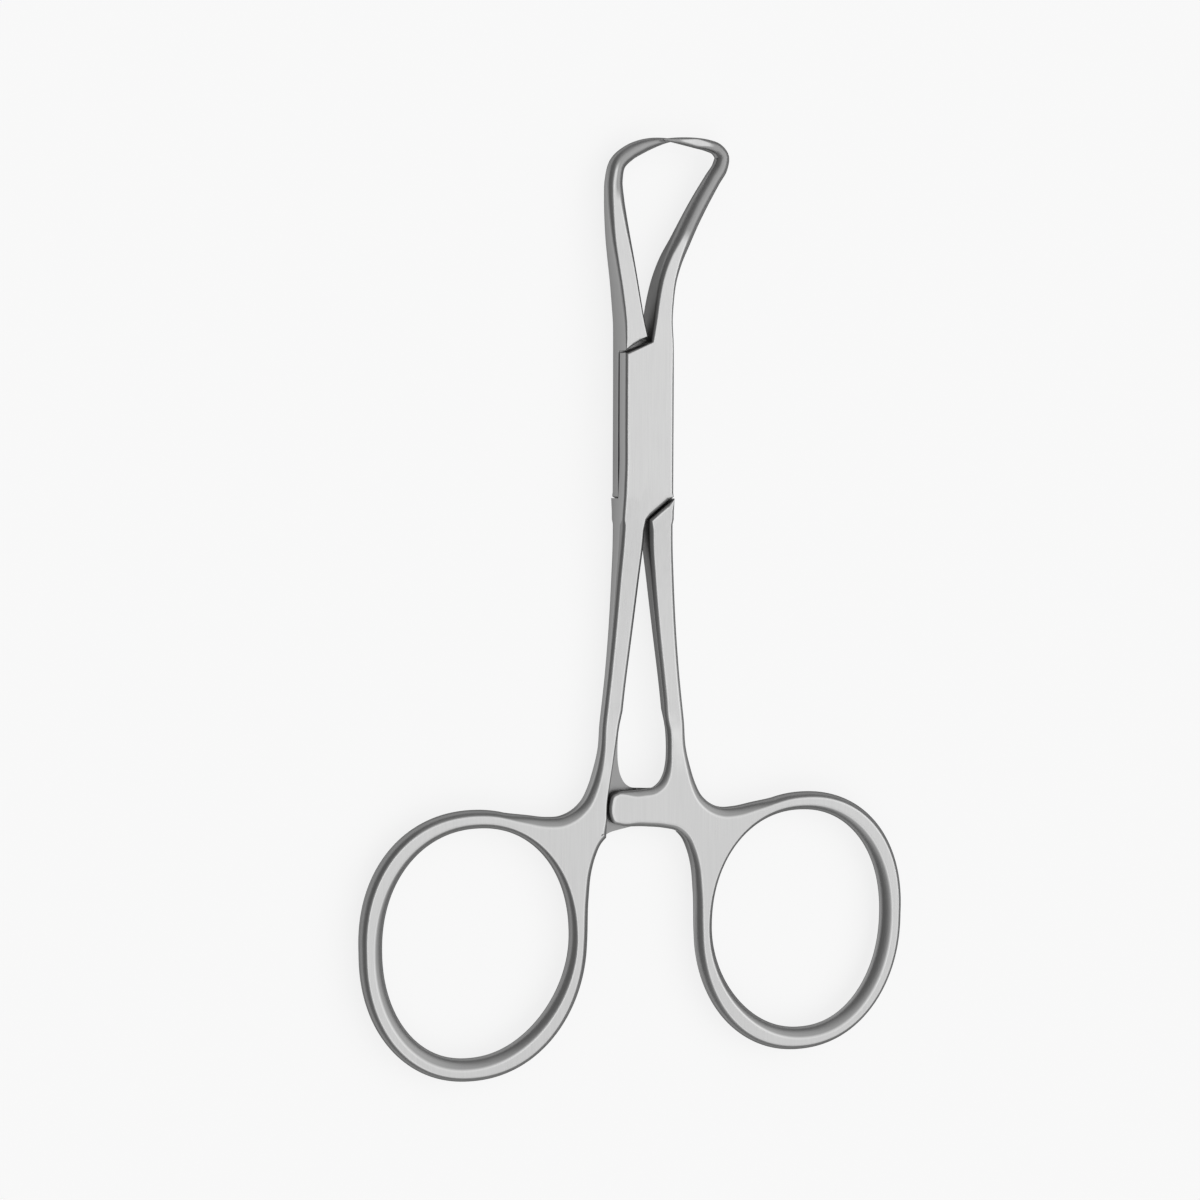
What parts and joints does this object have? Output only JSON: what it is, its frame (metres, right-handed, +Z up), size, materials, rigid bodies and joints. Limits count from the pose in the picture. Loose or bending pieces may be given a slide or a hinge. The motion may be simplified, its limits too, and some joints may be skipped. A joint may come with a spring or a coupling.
{
  "type": "towel clamp",
  "caption": "Ring-handled surgical towel clamp with curved pointed jaws, a flush lap joint at the pivot and a toothed ratchet between the finger rings.",
  "frame": {"origin": "on the pivot's axis at the back face of the joint", "axes": "+Y along the clamp towards the jaws, +Z up out of its front face, +X the front view's right"},
  "size_m": [0.0702, 0.1111, 0.0044],
  "materials": {
    "rear_half_steel": "satin, finely brushed on the flats",
    "front_half_steel": "satin, finely brushed on the flats",
    "pin_steel": "ground flush with the back of the joint"
  },
  "bodies": {
    "rear_half": {"rear_half": "rear_half_steel", "pivot_pin": "pin_steel"},
    "front_half": {"front_half": "front_half_steel"}
  },
  "joints": [
    {"name": "pivot", "type": "hinge", "parent": "rear_half", "child": "front_half", "pos_m": [0, 0, 0], "axis": [0, 0, -1], "range_deg": [0, 50]}
  ]
}
